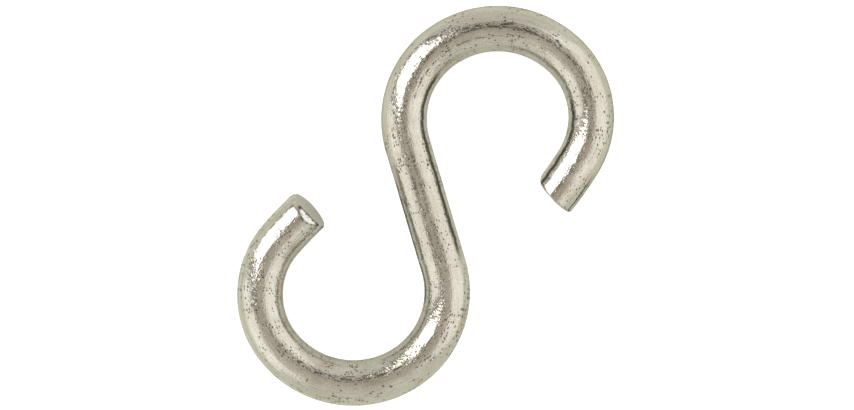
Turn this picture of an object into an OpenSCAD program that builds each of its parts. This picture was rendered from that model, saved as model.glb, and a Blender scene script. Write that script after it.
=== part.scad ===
// S hook bent from one length of round steel bar, lying flat on z = 0.
// The origin is under the middle of the shank, and +Y runs along the line of pull through both
// crowns towards the upper loop. Seen from +Z the bar follows a true S.

/* [Bar] */
// Diameter of the round bar
bar_dia = 6.35; // [5:0.05:8]

/* [Shank] */
// Straight length of bar between the two loops
shank_straight = 17.3; // [10:0.5:30]

/* [Loops] */
// Inside radius of the bend that leads from the shank into each loop
shoulder_inside_r = 9.2; // [7:0.1:14]
// Degrees turned by that bend
shoulder_turn = 73; // [60:1:88]
// Inside radius of each crown, where the load hangs
crown_inside_r = 10.1; // [8:0.1:15]
// Degrees turned by each crown
crown_turn = 82; // [68:1:99]
// Inside radius of the last bend, which closes each loop towards its mouth
throat_inside_r = 8.4; // [7:0.1:12]
// Degrees turned by the last bend of the upper loop
upper_throat_turn = 74; // [60:1:90]
// Degrees turned by the last bend of the lower loop, which is closed a little further
lower_throat_turn = 83; // [60:1:100]

/* [Ends] */
// Length of nearly straight bar beyond the last bend of each loop
tip_length = 5.6; // [3:0.1:9]
// Inside radius of the slight curve that is left in that length
tip_inside_r = 60; // [40:1:120]
// Degrees that the shear has leaned the two end faces out of upright
crop_lean = 13; // [0:1:20]
// Degrees that it has turned the upper end's face, which leaves the outside of that loop longer
upper_crop_skew = 8; // [0:1:15]
// Degrees that it has turned the lower end's face
lower_crop_skew = 2; // [0:1:15]
// Radius rolled over around the rim of each end face
rim_roll = 0.6; // [0.3:0.1:1.2]

/* [Hidden] */
$fn = 96;

// Sizes to a micron and angles to a hundredth of a degree, so that each bend meets the next exactly
function to_micron(size) = round(size * 1000) / 1000;
function to_hundredth(angle) = round(angle * 100) / 100;

bar_r = bar_dia / 2;
shank_half = to_micron(shank_straight / 2);

// Radius of the bar's middle line around each bend, from the shank outwards
shoulder_r = to_micron(shoulder_inside_r + bar_r);
crown_r = to_micron(crown_inside_r + bar_r);
throat_r = to_micron(throat_inside_r + bar_r);
tip_r = to_micron(tip_inside_r + bar_r);

// Each bend is an arc around its own centre, and the loop turns clockwise from the shank. These are
// the directions from those centres to the points where one bend hands over to the next.
shank_end_at = 180;
shoulder_end_at = to_hundredth(shank_end_at - shoulder_turn);
crown_end_at = to_hundredth(shoulder_end_at - crown_turn);
tip_turn = to_hundredth(tip_length / tip_r * 180 / PI);

function towards(angle) = [cos(angle), sin(angle), 0];

// The centres of two bends that meet are in line with the point where they meet
shoulder_centre = [shoulder_r, shank_half, 0];
crown_centre = shoulder_centre + (shoulder_r - crown_r) * towards(shoulder_end_at);
throat_centre = crown_centre + (crown_r - throat_r) * towards(crown_end_at);

// Where the last bend of a loop hands over to the tip, and the centre of the tip's slight curve
function throat_end_at(throat_turn) = to_hundredth(crown_end_at - throat_turn);
function tip_centre(throat_turn) =
    throat_centre + (throat_r - tip_r) * towards(throat_end_at(throat_turn));

// The line of pull leaves the middle of the shank through the centre of the crown
pull_at = atan2(crown_centre[1], crown_centre[0]);

// The blank runs on past each tip, because the leaning face needs bar on its longer side
crop_allowance = bar_r * 0.6;
blank_turn = to_hundredth((tip_length + crop_allowance) / tip_r * 180 / PI);

// The rim of an end rolls over through this angle, and then opens away from the bar's side
roll_sweep = 60;
tool_reach = bar_dia;

// Moves to a point in steps of whole millimetres, microns and the rest, which keeps it exact
module exactly_at(point) {
    whole = [for (x = point) floor(x)];
    microns = [for (x = point - whole) floor(x * 1000) / 1000];
    translate(whole)
        translate(microns)
            translate(point - whole - microns)
                children();
}

// One bend of the bar, which starts in the given direction from its centre and turns clockwise
module bend(centre, radius, start_at, turn) {
    exactly_at(centre)
        rotate_extrude(angle = turn, start = start_at - turn)
            translate([radius, 0])
                circle(r = bar_r);
}

// One loop, with its shoulder, crown, throat and tip
module loop(throat_turn) {
    bend(shoulder_centre, shoulder_r, shank_end_at, to_hundredth(shoulder_turn));
    bend(crown_centre, crown_r, shoulder_end_at, to_hundredth(crown_turn));
    bend(throat_centre, throat_r, crown_end_at, to_hundredth(throat_turn));
    bend(tip_centre(throat_turn), tip_r, throat_end_at(throat_turn), blank_turn);
}

// Half of the outline that a sheared end keeps, with the end face on y = 0
module end_outline() {
    roll_at = bar_r - rim_roll * sin(roll_sweep);
    opening_depth = rim_roll * (1 - cos(roll_sweep));
    translate([roll_at, -rim_roll])
        circle(r = rim_roll);
    polygon([
        [0, 0],
        [roll_at, 0],
        [bar_r, -opening_depth],
        [bar_r + (tool_reach - opening_depth) / tan(roll_sweep), -tool_reach],
        [0, -tool_reach]
    ]);
}

// What the shear and its roll take off the end of a bar that points along +Z
module end_waste() {
    difference() {
        translate([0, 0, -bar_r])
            cylinder(r = bar_dia, h = bar_r + crop_allowance * 2);
        rotate_extrude()
            end_outline();
    }
}

// Places the waste of one end where the loop's tip finishes, with its face turned and leaning
module at_tip(throat_turn, skew, lean) {
    tip_end_at = throat_end_at(throat_turn) - tip_turn;
    translate(tip_centre(throat_turn) + tip_r * towards(tip_end_at))
        rotate([0, 0, tip_end_at - skew])
            rotate([90 + lean, 0, 0])
                children();
}

module s_hook() {
    color([0.74, 0.72, 0.67])
        rotate([0, 0, 90 - pull_at])
            translate([0, 0, bar_r])
                difference() {
                    union() {
                        translate([0, -shank_half, 0])
                            rotate([-90, 0, 0])
                                cylinder(r = bar_r, h = shank_half * 2);
                        loop(upper_throat_turn);
                        rotate([0, 0, 180])
                            loop(lower_throat_turn);
                    }
                    at_tip(upper_throat_turn, upper_crop_skew, crop_lean)
                        end_waste();
                    rotate([0, 0, 180])
                        at_tip(lower_throat_turn, lower_crop_skew, -crop_lean)
                            end_waste();
                }
}

s_hook();
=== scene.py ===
import math
import random
import bpy
import numpy as np
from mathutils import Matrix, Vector, noise


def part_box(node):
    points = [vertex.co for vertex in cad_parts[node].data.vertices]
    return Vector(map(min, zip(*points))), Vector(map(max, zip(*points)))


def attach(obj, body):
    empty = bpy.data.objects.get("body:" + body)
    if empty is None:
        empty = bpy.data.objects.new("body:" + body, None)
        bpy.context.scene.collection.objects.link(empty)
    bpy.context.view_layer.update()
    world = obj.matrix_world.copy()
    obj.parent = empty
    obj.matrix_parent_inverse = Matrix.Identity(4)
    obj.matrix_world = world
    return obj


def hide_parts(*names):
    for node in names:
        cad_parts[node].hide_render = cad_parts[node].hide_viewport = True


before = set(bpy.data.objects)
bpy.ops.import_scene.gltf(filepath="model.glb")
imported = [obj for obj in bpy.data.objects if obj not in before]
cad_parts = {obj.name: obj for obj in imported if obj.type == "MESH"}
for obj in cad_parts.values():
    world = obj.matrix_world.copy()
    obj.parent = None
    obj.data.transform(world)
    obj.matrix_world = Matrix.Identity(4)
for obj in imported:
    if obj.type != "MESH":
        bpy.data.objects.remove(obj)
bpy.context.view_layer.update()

mm = 0.001
hookLow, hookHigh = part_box("s_hook")
barRadius = (hookHigh.z - hookLow.z) / mm / 2
print("frame loaded: the hook's box is", [round(side / mm, 2) for side in hookHigh - hookLow], "mm")

# The hook, in millimetres and degrees. Places along the bar are from the middle of the shank.
hookBar = {
    "shankHalf": 8.65,
    "shoulder": (9.2, 73),            # inside radius, degrees turned
    "crown": (10.1, 82),
    "upperThroat": (8.4, 74),
    "lowerThroat": (8.4, 83),
    "tipInside": 60,
    "tipLength": 5.6,
    "sides": 128,                     # points around the bar
    "ringStep": 0.205,                # spacing of the rings along it
    "underSkin": 0.004,               # how far the surface lies inside the full diameter
    # How the ends were cropped. Directions around the bar run from the inside of the loop, 0, over
    # the top, 90, and under it, -90. Skew is the degrees that a face is turned, which leaves the
    # outside of its loop longer.
    "ends": {
        "lower": {
            "skew": 2,
            "rollTowards": 172,       # where the edge is rolled most
            "rollLength": (0.30, 0.95),
            "rollDepth": (0.18, 0.50),
            "seed": 3.1,
        },
        "upper": {
            "skew": 8,
            "rollTowards": -35,
            "rollLength": (0.28, 0.95),
            "rollDepth": (0.16, 0.50),
            "seed": 9.4,
        },
        "lean": 13,                   # degrees that the faces lean out of upright
        "leanOver": 8.0,              # length of bar over which the rings swing round to a face
        "rollRings": 12,
        "rollFocus": 1.2,             # how closely the rolling keeps to its own side
        "wobbles": 1.7,               # how quickly the rolled edge varies on the way round
        "lengthWobble": 0.22,
        "depthWobble": 0.18,
        "bareFrom": 0.75,             # share of the rolled edge where bare cut metal starts
        "faceRings": 22,
        "dish": 0.07,
        "tornFrom": 0.15,             # where the smooth cut gives way to the torn part
        "tornOver": 0.12,
        "grain": 0.03,                # depth of the grain in the torn part
        "coarseGrain": {"perMm": 1.9, "share": 1.2, "seed": 5.0},
        "fineGrain": {"perMm": 4.5, "share": 0.8, "seed": 11.0},
        "smoothGrain": 0.25,          # share of that depth in the smooth cut
        "grainRise": 6,               # how soon the grain sets in behind the rim
        # A flat that the blade pressed into the lower end's edge, through three points, each given
        # as millimetres back from the face, towards the inside of the loop, and up
        "pressedFlat": ((0.0, -1.60, 2.74), (0.0, 2.55, 1.88), (0.84, 0.55, 3.12)),
        "pressedReach": 4,            # length of bar that it can touch
        "creaseShadeHalfWidth": 0.12,          # half the width of the painted shade line along its crease
        "burnishHighlightFrom": 0.6,           # how far inside that line it turns bright, partly burnish and partly painted highlight, in half-widths
    },
    # What drawing, bending and tumbling left in the surface
    "wear": {
        "seed": 41,
        "waveLength": 6.0,
        "waveDepth": 0.030,
        "waveShift": 4.2,
        "rippleLength": 1.2,
        "rippleDepth": 0.020,
        "rippleShift": 7.7,
        "level": 0.35,                # share of those depths that is worn off everywhere
        "swing": 0.5,
        "dings": 60,
        "dingSize": (0.5, 1.4),
        "dingShape": (0.6, 1.6),      # width for its length
        "dingDepth": (0.012, 0.04),
        "pits": 900,
        "pitSize": (0.24, 0.42),
        "pitDepth": (0.008, 0.026),
        "patchLength": 4,             # pits come in patches about this long
        "patchTurn": 1.3,
        "patchShift": 20,
        "patchEdge": 0.35,
        "bowlPower": 1.5,
    },
}


def middleLineFrom(throat):
    # The bends of one half in order, as the radius of the bar's middle line and the length
    steps = [(0, hookBar["shankHalf"])]
    for insideRadius, turn in (hookBar["shoulder"], hookBar["crown"], throat):
        radius = insideRadius + barRadius
        steps.append((radius, radius * math.radians(turn)))
    steps.append((hookBar["tipInside"] + barRadius, hookBar["tipLength"]))
    return steps


upperLine = middleLineFrom(hookBar["upperThroat"])
lowerLine = middleLineFrom(hookBar["lowerThroat"])
upperLength = sum(length for radius, length in upperLine)
lowerLength = sum(length for radius, length in lowerLine)


def walkBar(steps, distance):
    # Walks out from the middle of the shank, and says where that leads and which way it heads
    x, y, heading = 0.0, 0.0, math.pi / 2
    for index, (radius, length) in enumerate(steps):
        isLast = index == len(steps) - 1
        stride = distance if isLast else min(distance, length)
        if radius == 0:
            x += stride * math.cos(heading)
            y += stride * math.sin(heading)
        else:
            centreX = x + radius * math.sin(heading)
            centreY = y - radius * math.cos(heading)
            heading -= stride / radius
            x = centreX - radius * math.sin(heading)
            y = centreY + radius * math.cos(heading)
        distance -= stride
        if distance <= 0:
            break
    return x, y, heading


def crownBearing():
    # The direction in which the crown's centre lies from the middle of the shank
    x, y, heading = walkBar(upperLine, upperLine[0][1] + upperLine[1][1])
    crownRadius = upperLine[2][0]
    return math.atan2(y - crownRadius * math.cos(heading), x + crownRadius * math.sin(heading))


squareUp = math.pi / 2 - crownBearing()     # turns the line of pull onto the Y axis


def ringAt(along):
    # Centre and sideways direction of the bar's section at a place along it
    if along >= 0:
        x, y, heading = walkBar(upperLine, along)
    else:
        x, y, heading = walkBar(lowerLine, -along)
        x, y = -x, -y
    cosTurn, sinTurn = math.cos(squareUp), math.sin(squareUp)
    heading += squareUp
    centre = (x * cosTurn - y * sinTurn, x * sinTurn + y * cosTurn)
    return centre, (-math.sin(heading), math.cos(heading))


def smoothStep(value):
    value = np.clip(value, 0, 1)
    return value * value * (3 - 2 * value)


def sectionNoise(across, up, perMm, seed):
    # Noise at each of a ring's places in the bar's section
    return np.array([noise.noise(Vector((a * perMm, u * perMm, seed))) for a, u in zip(across, up)])


def faceShift(end, across, up):
    # How much further along the bar the end face stands at this place in the section
    skew = math.radians(hookBar["ends"][end]["skew"])
    lean = math.radians(hookBar["ends"]["lean"])
    return math.tan(skew) * across + math.tan(lean) * up


def rollAround(end, angles):
    # The rolled edge's length and its depth at every side. The inside of the lower loop is at
    # angle 0 and that of the upper loop is at angle 180.
    ends = hookBar["ends"]
    own = ends[end]
    fromInside = angles if end == "lower" else math.pi - angles
    near = (1 + np.cos(fromInside - math.radians(own["rollTowards"]))) / 2
    near = smoothStep(near) ** ends["rollFocus"]
    wobble = sectionNoise(np.cos(angles), np.sin(angles), ends["wobbles"], own["seed"])
    shortest, longest = own["rollLength"]
    shallow, deep = own["rollDepth"]
    length = (shortest + (longest - shortest) * near) * (1 + ends["lengthWobble"] * wobble)
    depth = (shallow + (deep - shallow) * near) * (1 + ends["depthWobble"] * wobble)
    return length, depth


def drawMarks(first, last):
    # Every ding and pit, as along, angle, length, width and depth
    wear = hookBar["wear"]
    draw = random.Random(wear["seed"])
    marks = []
    for number in range(wear["dings"]):
        length = draw.uniform(*wear["dingSize"])
        along = draw.uniform(first, last)
        angle = draw.uniform(0, 2 * math.pi)
        width = length * draw.uniform(*wear["dingShape"])
        marks.append((along, angle, length, width, draw.uniform(*wear["dingDepth"])))
    while len(marks) < wear["dings"] + wear["pits"]:
        along = draw.uniform(first, last)
        angle = draw.uniform(0, 2 * math.pi)
        across = math.cos(angle) * wear["patchTurn"]
        up = math.sin(angle) * wear["patchTurn"] + wear["patchShift"]
        patch = noise.noise(Vector((along / wear["patchLength"], across, up)))
        if patch < draw.uniform(-wear["patchEdge"], wear["patchEdge"]):
            continue
        size = draw.uniform(*wear["pitSize"])
        marks.append((along, angle, size, size, draw.uniform(*wear["pitDepth"])))
    return marks


def wearMap(alongs, angles):
    # How far each point of the bar's side is pressed in
    wear = hookBar["wear"]
    wave, ripple = wear["waveLength"], wear["rippleLength"]
    level, swing = wear["level"], wear["swing"]
    depth = np.zeros((len(alongs), len(angles)))
    for i, along in enumerate(alongs):
        for j, angle in enumerate(angles):
            across, up = barRadius * math.cos(angle), barRadius * math.sin(angle)
            broad = noise.noise(Vector((along / wave, across / wave + wear["waveShift"], up / wave)))
            fine = noise.noise(Vector((along / ripple + wear["rippleShift"], across / ripple, up / ripple)))
            depth[i, j] = max(0, level + swing * broad) * wear["waveDepth"]
            depth[i, j] += max(0, level + swing * fine) * wear["rippleDepth"]
    ringStep = alongs[1] - alongs[0]
    sideStep = barRadius * (angles[1] - angles[0])
    for along, angle, length, width, deep in drawMarks(alongs[0], alongs[-1]):
        row = int(round((along - alongs[0]) / ringStep))
        rowReach = int(length / ringStep) + 1
        rows = np.arange(max(0, row - rowReach), min(len(alongs), row + rowReach + 1))
        column = int(round(angle * barRadius / sideStep))
        columnReach = int(width / sideStep) + 1
        columns = np.arange(column - columnReach, column + columnReach + 1)
        down = (alongs[rows] - along)[:, None] / (length / 2)
        over = (columns * sideStep - angle * barRadius)[None, :] / (width / 2)
        bowl = np.clip(1 - down ** 2 - over ** 2, 0, 1) ** wear["bowlPower"]
        depth[np.ix_(rows, columns % len(angles))] += deep * bowl
    return depth


def sideRings(alongs, radii, cosines, sines, lowerRoll, upperRoll):
    # The bar's side. A ring holds its points' places along the bar, across it and up, and how much
    # each is cut face. Near each end the rings swing round to lie along the end's face.
    fullRadius = barRadius - hookBar["underSkin"]
    leanOver = hookBar["ends"]["leanOver"]
    lowerShift = faceShift("lower", fullRadius * cosines, fullRadius * sines)
    upperShift = faceShift("upper", fullRadius * cosines, fullRadius * sines)
    rings = []
    for along, radius in zip(alongs, radii):
        upperSwing = smoothStep(1 - (upperLength - along) / leanOver)
        lowerSwing = smoothStep(1 - (along + lowerLength) / leanOver)
        place = along + upperSwing * (upperShift - upperRoll[0]) + lowerSwing * (lowerShift + lowerRoll[0])
        rings.append((place, radius * cosines, radius * sines, np.zeros(len(radius))))
    return rings


def endRings(end, radius, roll, cosines, sines):
    # The rolled edge, then the face itself, as rings from the rim to the middle
    ends = hookBar["ends"]
    tip, outward = (-lowerLength, -1) if end == "lower" else (upperLength, 1)
    length, depth = roll
    rings = []
    for step in range(1, ends["rollRings"] + 1):
        share = step / ends["rollRings"]
        around = share * math.pi / 2
        r = radius - depth * (1 - math.cos(around))
        back = length * (1 - math.sin(around))
        across, up = r * cosines, r * sines
        bare = smoothStep((share - ends["bareFrom"]) / (1 - ends["bareFrom"]))
        rings.append((tip + faceShift(end, across, up) - outward * back, across, up, np.full(len(r), bare)))
    rim = radius - depth
    # The cut starts at the side where the edge is rolled most, and tears off at the other
    start = math.radians(ends[end]["rollTowards"])
    start = start if end == "lower" else math.pi - start
    coarse, fine = ends["coarseGrain"], ends["fineGrain"]
    for step in range(1, ends["faceRings"]):
        share = 1 - step / ends["faceRings"]
        r = rim * share
        across, up = r * cosines, r * sines
        travel = -(across * math.cos(start) + up * math.sin(start)) / barRadius
        torn = smoothStep((travel - ends["tornFrom"]) / ends["tornOver"])
        lumps = sectionNoise(across, up, coarse["perMm"], coarse["seed"] * outward)
        grit = sectionNoise(across, up, fine["perMm"], fine["seed"] * outward)
        rough = torn * ends["grain"] * (1 + coarse["share"] * lumps + fine["share"] * grit)
        rough = rough + ends["smoothGrain"] * ends["grain"] * lumps
        deep = ends["dish"] * (1 - share ** 2) + rough * smoothStep((1 - share) * ends["grainRise"])
        rings.append((tip + faceShift(end, across, up) - outward * deep, across, up, np.ones(len(r))))
    return rings


def pressFlat(points, cutFaces):
    # Presses the flat into the lower end. Each point is along, across and up the bar, and what
    # stood out beyond the flat's plane is moved straight down onto it.
    ends = hookBar["ends"]
    corners = []
    for back, inside, up in ends["pressedFlat"]:
        corners.append(np.array((-lowerLength + faceShift("lower", inside, up) + back, inside, up)))
    normal = np.cross(corners[1] - corners[0], corners[2] - corners[0])
    normal /= np.linalg.norm(normal)
    if normal[2] < 0:
        normal = -normal
    proud = (points - corners[0]) @ normal
    proud[points[:, 0] > -lowerLength + ends["pressedReach"]] = -1.0    # the rest of the bar is clear
    halfWidths = proud / ends["creaseShadeHalfWidth"]
    pressed = proud > 0
    points[pressed] -= np.outer(proud[pressed], normal)
    cutFaces[pressed] = 0.0
    # Returns the painted shade along the flat's crease, and where the flat is painted brighter, partly
    # burnish and partly painted highlight
    return np.exp(-halfWidths ** 2), smoothStep(halfWidths - ends["burnishHighlightFrom"])


def joinRings(ringCount, sides):
    # The faces between rings. Each end closes on a point in its middle, and those two points
    # come after all the rings'.
    faces = []
    for ring in range(ringCount - 1):
        near, far = ring * sides, (ring + 1) * sides
        for side in range(sides):
            following = (side + 1) % sides
            faces.append((near + side, near + following, far + following, far + side))
    last = (ringCount - 1) * sides
    firstMiddle = ringCount * sides
    for side in range(sides):
        following = (side + 1) % sides
        faces.append((following, side, firstMiddle))
        faces.append((last + side, last + following, firstMiddle + 1))
    return faces


def makeHook():
    sides = hookBar["sides"]
    angles = np.arange(sides) * 2 * math.pi / sides
    cosines, sines = np.cos(angles), np.sin(angles)
    ringCount = int(round((upperLength + lowerLength) / hookBar["ringStep"])) + 1
    alongs = np.linspace(-lowerLength, upperLength, ringCount)
    radii = barRadius - hookBar["underSkin"] - wearMap(alongs, angles)
    lowerRoll = rollAround("lower", angles)
    upperRoll = rollAround("upper", angles)
    lowerCap = endRings("lower", radii[0], lowerRoll, cosines, sines)
    upperCap = endRings("upper", radii[-1], upperRoll, cosines, sines)
    rings = lowerCap[::-1] + sideRings(alongs, radii, cosines, sines, lowerRoll, upperRoll) + upperCap
    middles = [np.array(ring[:3]).mean(axis=1) for ring in (rings[0], rings[-1])]
    points = np.vstack([np.column_stack(ring[:3]) for ring in rings] + [np.array(middles)])
    cutFaces = np.concatenate([ring[3] for ring in rings] + [np.ones(len(middles))])
    creaseShade, burnishHighlight = pressFlat(points, cutFaces)
    vertices = []
    for along, across, up in points:
        centre, sideways = ringAt(along)
        x = centre[0] + sideways[0] * across
        y = centre[1] + sideways[1] * across
        vertices.append((x * mm, y * mm, (barRadius + up) * mm))
    faces = joinRings(len(rings), sides)
    mesh = bpy.data.meshes.new("bentBar")
    mesh.from_pydata(vertices, [], faces)
    mesh.validate()
    mesh.shade_smooth()
    barPlace = mesh.attributes.new("barPlace", "FLOAT_VECTOR", "POINT")
    barPlace.data.foreach_set("vector", points.astype(np.float32).ravel())
    # These carry the crease's painted shade and the flat's brightening, partly burnish and partly painted
    # highlight
    for name, values in (("cutFace", cutFaces), ("creaseShade", creaseShade), ("burnishHighlight", burnishHighlight)):
        attribute = mesh.attributes.new(name, "FLOAT", "POINT")
        attribute.data.foreach_set("value", values.astype(np.float32))
    hook = bpy.data.objects.new("hook_bar", mesh)
    bpy.context.scene.collection.objects.link(hook)
    triangles = sum(len(face) - 2 for face in faces)
    print("hook bar built:", len(rings), "rings,", triangles, "triangles")
    return hook


hook = makeHook()

# Plating over bright drawn steel, in millimetres. A noise is how closely it varies to the
# millimetre, as one number or as along, across and up, then its detail and its roughness. An edge
# is where a pattern starts to show and where it shows in full.
platedSteel = {
    "plate": (0.565, 0.531, 0.458),
    "paler": (0.645, 0.615, 0.543),
    "tan": (0.52, 0.450, 0.330),
    "pit": (0.085, 0.074, 0.052),
    # painted shade: the dark line along the pressed flat's crease and the painted dark reflection lines
    "paintedShade": (0.045, 0.042, 0.03),
    "cutFace": (0.46, 0.425, 0.365),
    # partly burnish, partly painted highlight on the pressed flat
    "burnishHighlighted": (0.70, 0.69, 0.65),
    # How much of the plate each mark covers
    "tanCover": 0.6,
    "speckleCover": 0.20,
    "drawnCover": 0.16,
    "pitCover": 0.84,
    "paintedShadeCover": 0.90,
    # The plate's own roughness, and what each mark adds
    "roughness": 0.09,
    "bloomRoughness": 0.12,
    "grainRoughness": 0.06,
    "cutRoughness": 0.16,
    "paintedShadeRoughness": 0.30,
    "pitRoughness": 0.20,
    # How high each mark stands, or how deep
    "grainHeight": 0.012,
    "drawnHeight": 0.010,
    "mottleHeight": 0.036,
    "dimpleDepth": 0.013,
    "paintedShadeDepth": 0.03,
    "bloomNoise": (0.22, 3.0, 0.55),
    "bloomEdge": (0.35, 0.68),
    "stainNoise": (0.30, 4.0, 0.6),
    "stainEdge": (0.56, 0.74),
    "grainNoise": (3.0, 3.0, 0.6),
    "grainEdge": (0.3, 0.8),
    "speckleNoise": (6.0, 2.0, 0.7),
    "speckleEdge": (0.36, 0.62),
    "drawnNoise": ((0.30, 3.4, 3.4), 3.0, 0.6),
    "drawnEdge": (0.52, 0.30),
    "mottleNoise": ((2.6, 4.2, 4.2), 1.5, 0.5),
    "mottleLeast": 0.20,              # share of the mottle where nothing crowds
    # Small dimples crowd together in patches, and only the likeliest of them hold dirt
    "crowdNoise": (0.34, 3.0, 0.65),
    "crowdEdge": (0.44, 0.62),
    "crowding": 0.62,
    "dimplesPerMm": (2.2, 3.7, 3.7),
    "dimpleEdge": (0.62, 0.18),
    "dimpleChance": (0.62, 0.90),
    "pitChance": (0.90, 1.20),
    "pitEdge": (0.22, 0.72),
    # Painted shade along the crease where the end was pressed
    "creaseShadeNoise": (1.3, 3.0, 0.7),
    "creaseShadeEdge": (0.40, 0.60),
    "creaseShadeRange": (0.9, 0.5),      # how far it varies, and the least of it
    # Painted dark reflections, lines along the bar where it would mirror shade and dark surroundings:
    # degrees around it, half-width, how far they sway, how broken up they are, how faintly they run
    # on, and the stretches, from the middle of the shank, where each one shows in full
    "paintedReflectionLines": (
        {"angle": 143, "halfWidth": 0.29, "sway": 0.26, "broken": 0.34, "faint": 0.12,
         "stretches": ((-9, 22), (47, 68))},
        {"angle": 19, "halfWidth": 0.28, "sway": 0.12, "broken": 0.38, "faint": 0.30,
         "stretches": ((-16, 6),)},
        {"angle": 14, "halfWidth": 0.42, "sway": 0.05, "broken": 0.30, "faint": 0.0,
         "stretches": ((-70, -63),)},
        {"angle": 31, "halfWidth": 0.15, "sway": 0.10, "broken": 0.40, "faint": 0.0,
         "stretches": ((58, 72),)},
        {"angle": 110, "halfWidth": 0.10, "sway": 0.14, "broken": 0.50, "faint": 0.0,
         "stretches": ((13, 34),)},
        {"angle": 80, "halfWidth": 0.20, "sway": 0.20, "broken": 0.49, "faint": 0.0,
         "stretches": ((-46, -22), (24, 44))},
    ),
    "swayNoise": ((0.45, 0.0, 0.0), 3.0, 0.65),
    "breakNoise": ((1.1, 2.6, 2.6), 4.0, 0.75),
    "breakEdge": 0.09,
    "lineEdge": (1.5, 0.6),           # in half-widths
    "lineFade": 3.0,
}


def plugIn(tree, socket, value):
    # Links another node's output to the socket, or sets a plain value on it
    if isinstance(value, bpy.types.NodeSocket):
        tree.links.new(value, socket)
    elif socket.type == "RGBA":
        socket.default_value = (*value, 1.0)
    else:
        socket.default_value = value


def addNode(tree, kind, inputs=None, **settings):
    node = tree.nodes.new(kind)
    for name, value in settings.items():
        setattr(node, name, value)
    for name, value in (inputs or {}).items():
        plugIn(tree, node.inputs[name], value)
    return node


def attributeOf(tree, name, output="Fac"):
    return addNode(tree, "ShaderNodeAttribute", attribute_name=name).outputs[output]


def maths(tree, operation, *values, clamp=False):
    node = addNode(tree, "ShaderNodeMath", operation=operation, use_clamp=clamp)
    for socket, value in zip(node.inputs, values):
        plugIn(tree, socket, value)
    return node.outputs[0]


def between(tree, value, low, high):
    inputs = {"Value": value, "From Min": low, "From Max": high}
    return addNode(tree, "ShaderNodeMapRange", inputs, interpolation_type="SMOOTHSTEP").outputs["Result"]


def stretched(tree, place, scale):
    return addNode(tree, "ShaderNodeMapping", {"Vector": place, "Scale": scale}).outputs["Vector"]


def noiseAt(tree, place, noiseKind):
    perMm, detail, rough = noiseKind
    if isinstance(perMm, tuple):
        place = stretched(tree, place, perMm)
        perMm = 1.0
    inputs = {"Vector": place, "Scale": perMm, "Detail": detail, "Roughness": rough}
    return addNode(tree, "ShaderNodeTexNoise", inputs).outputs["Fac"]


def mixed(tree, share, first, second):
    node = addNode(tree, "ShaderNodeMix", data_type="RGBA")
    for index, value in ((0, share), (6, first), (7, second)):      # the factor, then the two colours
        plugIn(tree, node.inputs[index], value)
    return node.outputs[2]


def pitting(tree, place, notCut):
    crowd = noiseAt(tree, place, platedSteel["crowdNoise"])
    crowd = between(tree, crowd, *platedSteel["crowdEdge"])
    spread = stretched(tree, place, platedSteel["dimplesPerMm"])
    cells = addNode(tree, "ShaderNodeTexVoronoi", {"Vector": spread, "Scale": 1.0})
    luck = addNode(tree, "ShaderNodeSeparateColor", {"Color": cells.outputs["Color"]}).outputs[0]
    chance = maths(tree, "MULTIPLY_ADD", crowd, platedSteel["crowding"], luck)
    bowl = between(tree, cells.outputs["Distance"], *platedSteel["dimpleEdge"])
    bowl = maths(tree, "MULTIPLY", bowl, notCut, clamp=True)
    dimple = maths(tree, "MULTIPLY", bowl, between(tree, chance, *platedSteel["dimpleChance"]))
    pit = maths(tree, "MULTIPLY", bowl, between(tree, chance, *platedSteel["pitChance"]))
    pit = between(tree, pit, *platedSteel["pitEdge"])
    return crowd, dimple, pit


def paintedReflectionLine(tree, place, along, angleAround, line):
    # How strongly one painted dark reflection line shows at a place on the bar
    sway = noiseAt(tree, place, platedSteel["swayNoise"])
    level = math.radians(line["angle"]) - line["sway"] / 2
    level = maths(tree, "MULTIPLY_ADD", sway, line["sway"], level)
    gap = maths(tree, "ABSOLUTE", maths(tree, "SUBTRACT", angleAround, level))
    gap = maths(tree, "MULTIPLY", gap, barRadius)
    shown = line["faint"]
    for start, end in line["stretches"]:
        rise = between(tree, along, start, start + platedSteel["lineFade"])
        fall = between(tree, along, end, end - platedSteel["lineFade"])
        shown = maths(tree, "MAXIMUM", maths(tree, "MULTIPLY", rise, fall), shown)
    patchy = noiseAt(tree, place, platedSteel["breakNoise"])
    breakEdge = platedSteel["breakEdge"]
    patchy = between(tree, patchy, line["broken"] - breakEdge, line["broken"] + breakEdge)
    outer, inner = platedSteel["lineEdge"]
    stripe = between(tree, gap, line["halfWidth"] * outer, line["halfWidth"] * inner)
    return maths(tree, "MULTIPLY", maths(tree, "MULTIPLY", stripe, shown), patchy)


def paintedShadeMask(tree, place, notCut):
    # Painted shade along the pressed flat's crease, and the painted dark reflection lines
    bar = addNode(tree, "ShaderNodeSeparateXYZ", {"Vector": place}).outputs
    angleAround = maths(tree, "ARCTAN2", bar["Z"], bar["Y"])
    broken = noiseAt(tree, place, platedSteel["creaseShadeNoise"])
    broken = between(tree, broken, *platedSteel["creaseShadeEdge"])
    broken = maths(tree, "MULTIPLY_ADD", broken, *platedSteel["creaseShadeRange"])
    paintedShade = maths(tree, "MULTIPLY", attributeOf(tree, "creaseShade"), broken, clamp=True)
    for line in platedSteel["paintedReflectionLines"]:
        shown = paintedReflectionLine(tree, place, bar["X"], angleAround, line)
        paintedShade = maths(tree, "MAXIMUM", paintedShade, maths(tree, "MULTIPLY", shown, notCut))
    return paintedShade


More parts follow.
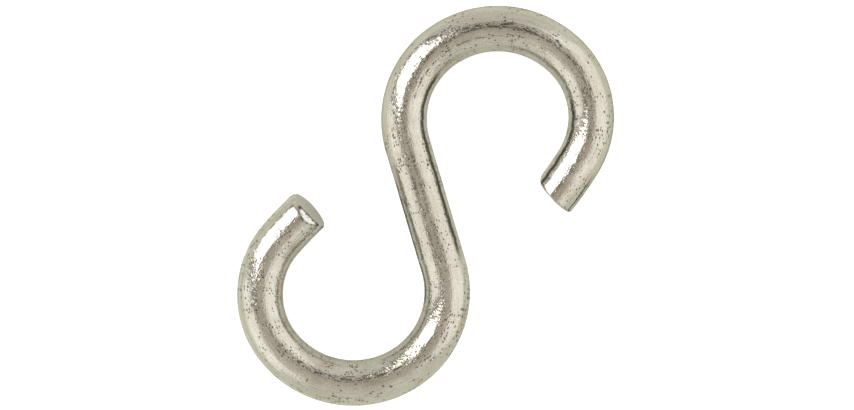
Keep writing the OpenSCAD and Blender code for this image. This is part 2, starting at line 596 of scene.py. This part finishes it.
def steelMaterial():
    material = bpy.data.materials.new("plated steel")
    material.use_nodes = True
    tree = material.node_tree
    tree.nodes.clear()
    place = attributeOf(tree, "barPlace", "Vector")
    cut = attributeOf(tree, "cutFace")
    notCut = maths(tree, "SUBTRACT", 1.0, cut, clamp=True)
    bloom = noiseAt(tree, place, platedSteel["bloomNoise"])
    stain = between(tree, noiseAt(tree, place, platedSteel["stainNoise"]), *platedSteel["stainEdge"])
    grain = noiseAt(tree, place, platedSteel["grainNoise"])
    drawn = noiseAt(tree, place, platedSteel["drawnNoise"])
    mottle = noiseAt(tree, place, platedSteel["mottleNoise"])
    speckle = noiseAt(tree, place, platedSteel["speckleNoise"])
    speckle = between(tree, speckle, *platedSteel["speckleEdge"])
    crowd, dimple, pit = pitting(tree, place, notCut)
    paintedShade = paintedShadeMask(tree, place, notCut)

    bloomShare = between(tree, bloom, *platedSteel["bloomEdge"])
    colour = mixed(tree, bloomShare, platedSteel["plate"], platedSteel["paler"])
    share = maths(tree, "MULTIPLY", stain, platedSteel["tanCover"])
    colour = mixed(tree, share, colour, platedSteel["tan"])
    cover = platedSteel["speckleCover"]
    share = maths(tree, "MULTIPLY_ADD", speckle, -cover, cover)
    colour = mixed(tree, share, colour, platedSteel["pit"])
    drawnShare = between(tree, drawn, *platedSteel["drawnEdge"])
    share = maths(tree, "MULTIPLY", drawnShare, platedSteel["drawnCover"])
    colour = mixed(tree, share, colour, platedSteel["pit"])
    colour = mixed(tree, cut, colour, platedSteel["cutFace"])
    # The pressed flat turns brighter: partly burnish, partly painted highlight
    colour = mixed(tree, attributeOf(tree, "burnishHighlight"), colour, platedSteel["burnishHighlighted"])
    share = maths(tree, "MULTIPLY", pit, platedSteel["pitCover"])
    colour = mixed(tree, share, colour, platedSteel["pit"])
    # Painted shade along the crease and painted dark reflections along the bar
    share = maths(tree, "MULTIPLY", paintedShade, platedSteel["paintedShadeCover"])
    colour = mixed(tree, share, colour, platedSteel["paintedShade"])

    rough = maths(tree, "MULTIPLY_ADD", bloom, platedSteel["bloomRoughness"], platedSteel["roughness"])
    grainShare = between(tree, grain, *platedSteel["grainEdge"])
    rough = maths(tree, "MULTIPLY_ADD", grainShare, platedSteel["grainRoughness"], rough)
    rough = maths(tree, "MULTIPLY_ADD", cut, platedSteel["cutRoughness"], rough)
    rough = maths(tree, "MULTIPLY_ADD", paintedShade, platedSteel["paintedShadeRoughness"], rough)
    rough = maths(tree, "MULTIPLY_ADD", pit, platedSteel["pitRoughness"], rough, clamp=True)

    least = platedSteel["mottleLeast"]
    mottle = maths(tree, "MULTIPLY", mottle, maths(tree, "MULTIPLY_ADD", crowd, 1 - least, least))
    height = maths(tree, "MULTIPLY", grain, platedSteel["grainHeight"])
    height = maths(tree, "MULTIPLY_ADD", drawn, platedSteel["drawnHeight"], height)
    height = maths(tree, "MULTIPLY_ADD", mottle, platedSteel["mottleHeight"], height)
    height = maths(tree, "MULTIPLY_ADD", dimple, -platedSteel["dimpleDepth"], height)
    height = maths(tree, "MULTIPLY_ADD", paintedShade, -platedSteel["paintedShadeDepth"], height)
    bump = addNode(tree, "ShaderNodeBump", {"Height": height, "Distance": mm, "Strength": 1.0})
    shader = addNode(tree, "ShaderNodeBsdfPrincipled", {
        "Base Color": colour,
        "Roughness": rough,
        "Metallic": 1.0,
        "Normal": bump.outputs["Normal"],
    })
    addNode(tree, "ShaderNodeOutputMaterial", {"Surface": shader.outputs[0]})
    return material


hook.data.materials.append(steelMaterial())
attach(hook, "root")
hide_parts("s_hook")
print("plated steel finished")

# The camera looks straight down on the hook. Its sizes are in millimetres.
camera = {
    "turn": 41.841,                   # degrees from the X axis round to the view's right-hand side
    "lens": 200,
    "sensor": 36,
    "clip": (0.01, 20),               # metres
    "viewWidth": 117.27,              # across the view, at the bar's middle
    "centre": (0.200, 0.091),         # the view's middle, right of the hook's and up from it
}


def viewDirection(bearing):
    # A direction on the table, counter-clockwise from the right-hand side of the view
    angle = math.radians(bearing + camera["turn"])
    return Vector((math.cos(angle), math.sin(angle), 0))


def makeCamera():
    data = bpy.data.cameras.new("table camera")
    data.type = "PERSP"
    data.lens = camera["lens"]
    data.sensor_width = camera["sensor"]
    data.clip_start, data.clip_end = camera["clip"]
    data.dof.use_dof = False
    item = bpy.data.objects.new("table camera", data)
    bpy.context.scene.collection.objects.link(item)
    right, up = camera["centre"]
    distance = camera["lens"] * camera["viewWidth"] / camera["sensor"]
    above = Vector((0, 0, barRadius + distance))
    item.location = (viewDirection(0) * right + viewDirection(90) * up + above) * mm
    item.rotation_euler = (0, 0, math.radians(camera["turn"]))
    bpy.context.scene.camera = item
    print("camera", round(distance), "mm above the bar")


makeCamera()

# A pale table under soft boxes, in metres. Bearings are as the camera sees them, counter-clockwise
# from the right, and tilt is from straight up.
studio = {
    "floorSize": 3.0,
    "paperColour": (0.80, 0.80, 0.80),
    "paperGlow": 0.68,
    "tableColour": (0.76, 0.78, 0.71),   # the table under the paper is what the metal mirrors
    "tableDepth": 0.0001,
    "floorShine": 0.1,
    "mattRoughness": 0.9,
    "distance": 0.9,
    "softBoxes": {
        "key soft box": {"bearing": 146, "tilt": 46, "size": (0.43, 0.90), "glow": 3.2, "frame": 0.16},
        "right soft box": {"bearing": 8, "tilt": 57, "size": (1.50, 1.20), "glow": 0.475, "frame": 0},
        "left soft box": {"bearing": 200, "tilt": 64, "size": (1.00, 0.86), "glow": 0.51, "frame": 0},
    },
    "frameBehind": 0.01,
    "cardColour": (0.03, 0.027, 0.02),
    "cameraShade": {"bearing": 72, "tilt": 15, "distance": 0.62, "size": (0.24, 0.13)},
    "dome": [                         # height of the direction from -1 to 1, and the colour there
        (-1.0, (0.60, 0.62, 0.58)),
        (0.0, (0.82, 0.84, 0.79)),
        (0.35, (0.90, 0.90, 0.865)),
        (0.80, (0.84, 0.82, 0.78)),
        (1.0, (0.64, 0.595, 0.53)),
    ],
}


def skyDirection(bearing, tilt):
    lean = math.radians(tilt)
    return viewDirection(bearing) * math.sin(lean) + Vector((0, 0, math.cos(lean)))


def makeSheet(name, length, width, colour, place):
    # A flat matt sheet that is staged round the hook, and the shader that it has
    mesh = bpy.data.meshes.new(name)
    along, across = length / 2, width / 2
    corners = [(-along, -across, 0), (along, -across, 0), (along, across, 0), (-along, across, 0)]
    mesh.from_pydata(corners, [], [(0, 1, 2, 3)])
    sheet = bpy.data.objects.new(name, mesh)
    sheet.location = place
    bpy.context.scene.collection.objects.link(sheet)
    material = bpy.data.materials.new(name)
    material.use_nodes = True
    shader = material.node_tree.nodes["Principled BSDF"]
    shader.inputs["Base Color"].default_value = (*colour, 1)
    shader.inputs["Roughness"].default_value = studio["mattRoughness"]
    mesh.materials.append(material)
    return sheet, shader


def makeFloor(name, level, colour, glow):
    floor, shader = makeSheet(name, studio["floorSize"], studio["floorSize"], colour, (0, 0, level))
    shader.inputs["Specular IOR Level"].default_value = studio["floorShine"]
    shader.inputs["Emission Color"].default_value = (1, 1, 1, 1)
    shader.inputs["Emission Strength"].default_value = glow
    return floor


def makeCard(name, length, width, place, turned):
    # A dark card that shows only where the metal mirrors it
    card, shader = makeSheet(name, length, width, studio["cardColour"], place)
    card.rotation_euler = turned
    card.visible_camera = False
    card.visible_shadow = False
    card.visible_diffuse = False


def makeCameraShade():
    # The dark arm of the camera stand, which mirrors as a thin dark line on top of the bar
    shade = studio["cameraShade"]
    place = skyDirection(shade["bearing"], shade["tilt"]) * shade["distance"]
    turned = (0, 0, math.radians(shade["bearing"] + camera["turn"]))
    makeCard("camera_shade", *shade["size"], place, turned)


def makeSoftBoxes():
    for name, box in studio["softBoxes"].items():
        direction = skyDirection(box["bearing"], box["tilt"])
        data = bpy.data.lights.new(name, "AREA")
        data.shape = "RECTANGLE"
        data.size, data.size_y = box["size"]
        data.energy = box["glow"] * math.pi * data.size * data.size_y
        item = bpy.data.objects.new(name, data)
        item.location = direction * studio["distance"]
        item.rotation_euler = direction.to_track_quat("Z", "Y").to_euler()
        item.visible_camera = False
        bpy.context.scene.collection.objects.link(item)
        if box["frame"] > 0:
            length = data.size + 2 * box["frame"]
            width = data.size_y + 2 * box["frame"]
            behind = direction * (studio["distance"] + studio["frameBehind"])
            makeCard(name.replace(" ", "_") + "_frame", length, width, behind, item.rotation_euler)


def makeDome():
    world = bpy.data.worlds.new("studio dome")
    world.use_nodes = True
    tree = world.node_tree
    tree.nodes.clear()
    direction = addNode(tree, "ShaderNodeTexCoord").outputs["Generated"]
    height = addNode(tree, "ShaderNodeSeparateXYZ", {"Vector": direction}).outputs["Z"]
    ramp = addNode(tree, "ShaderNodeValToRGB", {"Fac": maths(tree, "MULTIPLY_ADD", height, 0.5, 0.5)})
    stops = studio["dome"]
    while len(ramp.color_ramp.elements) < len(stops):
        ramp.color_ramp.elements.new(0.5)
    for element, (level, colour) in zip(ramp.color_ramp.elements, stops):
        element.position = level / 2 + 0.5
        element.color = (*colour, 1)
    background = addNode(tree, "ShaderNodeBackground", {"Color": ramp.outputs["Color"], "Strength": 1.0})
    addNode(tree, "ShaderNodeOutputWorld", {"Surface": background.outputs[0]})
    bpy.context.scene.world = world


paper = makeFloor("white_paper", 0, studio["paperColour"], studio["paperGlow"])
paper.visible_glossy = False
paper.visible_diffuse = False
paper.visible_shadow = False
table = makeFloor("table_top", -studio["tableDepth"], studio["tableColour"], 0)
table.visible_camera = False
makeCameraShade()
makeSoftBoxes()
makeDome()
bpy.context.scene.view_settings.view_transform = "Standard"
print("floor and soft boxes set")
